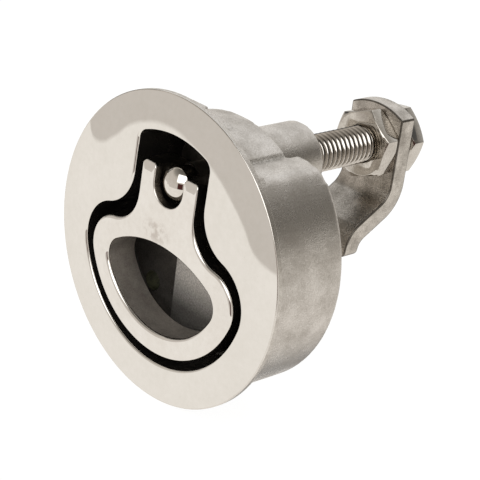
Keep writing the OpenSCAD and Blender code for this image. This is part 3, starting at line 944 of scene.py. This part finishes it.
class Spindle:
    """The threaded spindle with its domed head."""

    def __init__(self, sizes: Sizes) -> None:
        self.sizes = sizes

    def thread(self) -> bpy.types.Object:
        """The threaded length, as one helical strip closed by a chamfered end."""
        s = self.sizes
        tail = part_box("spindle")[1].y / MM
        around, along = 48, 10
        profile = [self.ridge(i / along) for i in range(along)]
        rows = math.ceil((tail - s.thread_start) / s.thread_pitch * along)
        shell = Shell()
        grid: list[list[Vector]] = []
        for i in range(rows + 1):
            row = []
            for j in range(around + 1):
                y = s.thread_start + s.thread_pitch * (i / along + j / around - 1)
                r = profile[i % along]
                chamfer = s.thread_r - max(0.0, 0.7 - (tail - y))
                start = s.thread_r - s.thread_depth + max(0.0, y - s.thread_start) * 0.8
                y = min(max(y, s.thread_start), tail)
                a = math.tau * j / around
                row.append(Vector((min(r, chamfer, start) * math.cos(a), y, s.axis_z + min(r, chamfer, start) * math.sin(a))))
            grid.append(row)
        for low, high in zip(grid, grid[1:]):
            for j in range(around):
                quad = (low[j], low[j + 1], high[j + 1], high[j])
                out = sum(((q - Vector((0, q.y, s.axis_z))) for q in quad), Vector())
                self.facet(shell, quad, out)
        end = [Vector((0.0, tail, s.axis_z)) for _ in range(around)]
        rim = [Vector(((s.thread_r - 0.7) * math.cos(math.tau * j / around), tail, s.axis_z + (s.thread_r - 0.7) * math.sin(math.tau * j / around))) for j in range(around)]
        for j in range(around):
            self.facet(shell, (end[j], rim[j], rim[(j + 1) % around]), Vector((0, 1, 0)), 1)
        mesh = bpy.data.meshes.new("spindle_thread")
        mesh.from_pydata([v * MM for v in shell.vertices], [], shell.faces)
        mesh.materials.append(metal(THREAD))
        mesh.materials.append(metal(TURNED))
        mesh.polygons.foreach_set("material_index", shell.slots)
        mesh.polygons.foreach_set("use_smooth", [True] * len(mesh.polygons))
        mesh.set_sharp_from_angle(angle=math.radians(35))
        return link("spindle_thread", mesh)

    def head(self) -> bpy.types.Object:
        """The polished head with its dome."""
        s = self.sizes
        ball = (s.head_r**2 + s.dome_h**2) / (2 * s.dome_h)
        full = math.asin(s.head_r / ball)
        profile = []
        for i in range(15):
            a = full * i / 14
            profile.append((ball * math.sin(a), ball * (1 - math.cos(a)) - s.crest_front, math.sin(a), -math.cos(a)))
        for y in (s.dome_h - s.crest_front, 2.0, s.head_back):
            profile.append((s.head_r, y, 1.0, 0.0))
        shell = Shell()
        loops = []
        for r, y, out, front in profile:
            turn = [math.tau * j / 64 for j in range(64)]
            loops.append([
                (Vector((r * math.cos(a), y, s.axis_z + r * math.sin(a))),
                 Vector((out * math.cos(a), front, out * math.sin(a)))) for a in turn
            ])
        shell.loft(loops)
        return shell.to_object("spindle_head", [metal(HEAD_POLISH)])

    def facet(self, shell: Shell, corners: Sequence[Vector], out: Vector, slot: int = 0) -> None:
        """Adds a face of the thread, looking out."""
        shell.face([shell.vertex(c, Vector((0, 1, 0))) for c in corners], slot)
        ring = shell.faces[-1] if shell.faces else ()
        if len(ring) >= 3:
            a, b, c = (shell.vertices[i] for i in ring[:3])
            if (b - a).cross(c - a).dot(out) < 0:
                shell.faces[-1] = tuple(reversed(ring))

    def ridge(self, share: float) -> float:
        """Radius of the thread at a share of its pitch: a flat crest, straight flanks and a flat root."""
        s = self.sizes
        wave = abs(2 * (share % 1) - 1)
        return s.thread_r - s.thread_depth * min(1.0, max(0.0, (wave - 0.1) / 0.75))

    def make(self) -> None:
        """Makes the spindle's pieces."""
        s = self.sizes
        shank = refined_copy("spindle_shank", "spindle", metal(TURNED), 0.2, (s.head_back, s.thread_start + 0.3))
        for piece in (self.head(), self.thread(), shank):
            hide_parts("spindle")
            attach(piece, Body.SPINDLE.value)


@dataclass(frozen=True)
class Copied:
    """A CAD node whose shape stays and whose edges are rounded."""

    name: str
    node: str
    look: Finish
    slot: str
    body: Body
    bevel: float
    edge: Finish | None = None


COPIES = (
    Copied("offset_bar", "cam_bar", SATIN, "bar_steel", Body.SPINDLE, 0.3, BAR_EDGE),
    Copied("front_nut", "inner_nut", BRIGHT, "nut_steel", Body.SPINDLE, 0.12),
    Copied("rear_nut", "outer_nut", BRIGHT, "nut_steel", Body.SPINDLE, 0.12),
    Copied("bearing_bush", "thrust_bush", TURNED, "bush_steel", Body.CUP, 0.15),
    Copied("hinge_pin", "pivot_pin", TURNED, "pin_steel", Body.SPINDLE, 0.25),
    Copied("flat_washer", "spring_washer", TURNED, "washer_steel", Body.SPINDLE, 0.1),
    Copied("snap_ring", "retaining_ring", RING_DARK, "ring_steel", Body.SPINDLE, 0.1),
)


# Studio


@dataclass(frozen=True)
class Studio:
    """The camera and the light."""

    eye_mm: tuple[float, float, float] = (218.8, -206.0, 132.4)
    azimuth: float = 44.202
    elevation: float = 23.152
    roll: float = 7.681
    lens: float = 129.26
    sensor: float = 36.0
    floor_mm: float = -31.0

    def camera(self) -> None:
        """Puts the camera where the photograph was taken from."""
        a, e, roll = (math.radians(v) for v in (self.azimuth, self.elevation, self.roll))
        back = Vector((math.sin(a) * math.cos(e), -math.cos(a) * math.cos(e), math.sin(e)))
        right = Vector((math.cos(a), math.sin(a), 0))
        up = back.cross(right)
        x = math.cos(roll) * right + math.sin(roll) * up
        y = -math.sin(roll) * right + math.cos(roll) * up
        data = bpy.data.cameras.new("camera")
        data.lens, data.sensor_width = self.lens, self.sensor
        data.clip_start, data.clip_end = 0.01, 10
        camera = bpy.data.objects.new("camera", data)
        camera.matrix_world = Matrix.Translation(Vector(self.eye_mm) * MM) @ Matrix((x, y, back)).transposed().to_4x4()
        bpy.context.scene.collection.objects.link(camera)
        bpy.context.scene.camera = camera

    def world(self) -> None:
        """A white room with a pale table, a dimmer wall above it and a bright ceiling."""
        world = bpy.data.worlds.new("studio")
        world.use_nodes = True
        bpy.context.scene.world = world
        tree = world.node_tree
        tree.nodes.clear()

        def add(kind: str, inputs: dict | None = None, **settings) -> bpy.types.Node:
            return add_node(tree, kind, inputs, **settings)

        def maths(operation: str, *values: object) -> bpy.types.NodeSocket:
            return add("ShaderNodeMath", dict(enumerate(values)), operation=operation).outputs[0]

        way = add("ShaderNodeTexCoord").outputs["Generated"]
        x, y, z = add("ShaderNodeSeparateXYZ", {"Vector": way}).outputs
        azimuth = maths("DEGREES", maths("ARCTAN2", x, maths("MULTIPLY", y, -1.0)))
        height = maths("DEGREES", maths("ARCSINE", z))
        across = add("ShaderNodeMapRange", {"Value": azimuth, "From Min": -60.0, "From Max": -30.0}).outputs["Result"]
        curve = add("ShaderNodeFloatCurve", {"Value": across})
        shape = curve.mapping.curves[0]
        shape.points[0].location = (0.0, TABLE_EDGE[0][1])
        shape.points[-1].location = (1.0, TABLE_EDGE[-1][1])
        for at, value in TABLE_EDGE[1:-1]:
            shape.points.new(at, value)
        curve.mapping.update()
        edge = add("ShaderNodeMapRange", {"Value": curve.outputs[0], "To Min": -30.0, "To Max": -10.0}).outputs["Result"]
        over = maths("SUBTRACT", height, edge)
        above = add("ShaderNodeMapRange", {"Value": over, "From Min": -0.15, "From Max": 0.15}).outputs["Result"]
        share = maths("DIVIDE", maths("ADD", height, 90.0), 180.0)
        rooms = []
        for stops in (ROOM_LEFT, ROOM_RIGHT, ROOM_FRONT):
            room = add("ShaderNodeValToRGB", {"Fac": share})
            for index, (at, colour) in enumerate(stops):
                stop = room.color_ramp.elements[index] if index < 2 else room.color_ramp.elements.new((at + 90) / 180)
                stop.position = (at + 90) / 180
                stop.color = linear(colour)
            rooms.append(room.outputs[0])
        to_right = add("ShaderNodeMapRange", {"Value": x, "From Min": 0.0, "From Max": 0.45}).outputs["Result"]
        to_front = add("ShaderNodeMapRange", {"Value": y, "From Min": 0.2, "From Max": -0.2}).outputs["Result"]

        def mixed(share_of: object, low: object, high: object) -> bpy.types.NodeSocket:
            return add("ShaderNodeMix", {"Factor": share_of, 6: low, 7: high}, data_type="RGBA").outputs[2]

        wall = mixed(to_front, mixed(to_right, rooms[0], rooms[1]), rooms[2])
        seen = mixed(above, linear("FDF9F4"), wall)
        for lamp in SOFTBOXES:
            a, e = math.radians(lamp.azimuth), math.radians(lamp.elevation)
            aim = Vector((math.sin(a) * math.cos(e), -math.cos(a) * math.cos(e), math.sin(e)))
            side = Vector((math.cos(a), math.sin(a), 0.0))
            glow = 1.0
            for axis, half in ((side, lamp.wide), (aim.cross(side), lamp.high)):
                off = add("ShaderNodeVectorMath", {0: way, 1: axis}, operation="DOT_PRODUCT").outputs["Value"]
                off = maths("ABSOLUTE", off)
                outer, inner = (math.sin(math.radians(half * k)) for k in (1.12, 0.88))
                within = add("ShaderNodeMapRange", {"Value": off, "From Min": outer, "From Max": inner})
                glow = maths("MULTIPLY", glow, within.outputs["Result"])
            ahead = add("ShaderNodeVectorMath", {0: way, 1: aim}, operation="DOT_PRODUCT").outputs["Value"]
            glow = maths("MULTIPLY", glow, maths("GREATER_THAN", ahead, 0.0))
            level = linear(lamp.colour)[:3]
            seen = mixed(glow, seen, (*(c * lamp.strength for c in level), 1.0))
        ray = add("ShaderNodeLightPath").outputs["Is Camera Ray"]
        lit = add("ShaderNodeBackground", {"Color": seen, "Strength": 1.0})
        white = add("ShaderNodeBackground", {"Color": (1.0, 1.0, 1.0, 1.0)})
        both = add("ShaderNodeMixShader", {0: ray, 1: lit.outputs[0], 2: white.outputs[0]})
        add("ShaderNodeOutputWorld", {"Surface": both.outputs[0]})

    def floor(self) -> None:
        """A plain pale floor that keeps the latch's soft shadow; metal sees the room's table in its place."""
        half = 2.0
        z = self.floor_mm * MM
        mesh = bpy.data.meshes.new("floor")
        mesh.from_pydata([(-half, -half, z), (half, -half, z), (half, half, z), (-half, half, z)], [], [(0, 1, 2, 3)])
        tree = NodeTree("pale_floor")
        pale = tree.add("ShaderNodeBsdfDiffuse", {"Color": (0.16, 0.16, 0.16, 1.0)})
        glow = tree.add("ShaderNodeEmission", {"Color": (1.0, 1.0, 1.0, 1.0), "Strength": 0.93})
        seen = tree.add("ShaderNodeAddShader", {0: pale.outputs[0], 1: glow.outputs[0]})
        clear = tree.add("ShaderNodeBsdfTransparent")
        ray = tree.add("ShaderNodeLightPath").outputs["Is Camera Ray"]
        both = tree.add("ShaderNodeMixShader", {0: ray, 1: clear.outputs[0], 2: seen.outputs[0]})
        tree.add("ShaderNodeOutputMaterial", {"Surface": both.outputs[0]})
        mesh.materials.append(tree.material)
        link("floor", mesh)

    def make(self) -> None:
        """Sets the whole studio up."""
        self.camera()
        self.world()
        self.floor()
        settings = bpy.context.scene.view_settings
        settings.view_transform = "Standard"


# Where the bright table ends and the wall begins, by the share of the way from left to right
TABLE_EDGE = (
    (0.0, 0.93), (0.145, 0.92), (0.168, 0.7), (0.18, 0.6), (0.21, 0.588), (0.26, 0.618), (0.34, 0.688), (0.46, 0.715),
    (0.55, 0.675), (0.62, 0.62), (0.68, 0.545), (0.72, 0.48), (0.76, 0.4), (0.82, 0.365), (1.0, 0.36),
)
# Colours of the room over the table, by height in degrees: behind on the left, behind on the right, in front
ROOM_LEFT = ((-90.0, "F4F1EC"), (-10.0, "EFEBE5"), (12.0, "F6F3EE"), (30.0, "FFFFFF"), (90.0, "FFFFFF"))
ROOM_RIGHT = (
    (-90.0, "FBF8F5"), (-15.0, "F8F5F0"), (-2.0, "ECE8E2"), (7.0, "BDB9B2"), (13.0, "6C6963"), (22.0, "524F4A"),
    (29.0, "8E8A84"), (38.0, "A29E97"), (46.0, "AAA69F"), (60.0, "D0CCC5"), (90.0, "FFFFFF"),
)
ROOM_FRONT = (
    (-90.0, "D8D2CC"), (-14.0, "D8D2CC"), (30.0, "CCC5BD"), (42.0, "9A958E"), (60.0, "75716B"), (90.0, "5A5752"),
)


@dataclass(frozen=True)
class Softbox:
    """A rectangular lamp or card far away: its direction and half sizes in degrees, its colour and strength."""

    azimuth: float
    elevation: float
    wide: float
    high: float
    colour: str
    strength: float


SOFTBOXES = (
    Softbox(29.0, 34.5, 23.0, 20.0, "FFFFFF", 2.3),
    Softbox(27.0, -8.0, 14.0, 15.0, "5E3A36", 0.7),
    Softbox(-94.0, 16.0, 15.0, 15.0, "FFFFFF", 0.12),
    Softbox(146.0, 53.0, 5.0, 5.0, "FFFFFF", 1.6),
    Softbox(143.5, 33.0, 6.0, 4.5, "FFFFFF", 0.12),
    Softbox(-163.0, -46.0, 10.0, 10.0, "FFFFFF", 0.3),
)


def main() -> None:
    """Dresses the latch and lights it."""
    logging.basicConfig(level=logging.INFO)
    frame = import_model()
    Studio().make()
    Housing(SIZES).make()
    Handle(SIZES).make()
    Spindle(SIZES).make()
    for part in COPIES:
        edge = metal(part.edge) if part.edge else None
        piece = refined_copy(part.name, part.node, metal(part.look), part.bevel, None, edge)
        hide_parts(part.node)
        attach(piece, part.body.value)
    carried = {"shaft_seal": rubber(), "return_spring": metal(WIRE)}
    for node, material in carried.items():
        mesh = frame["nodes"][node].data
        mesh.materials.clear()
        mesh.materials.append(material)


if __name__ == "__main__":
    main()
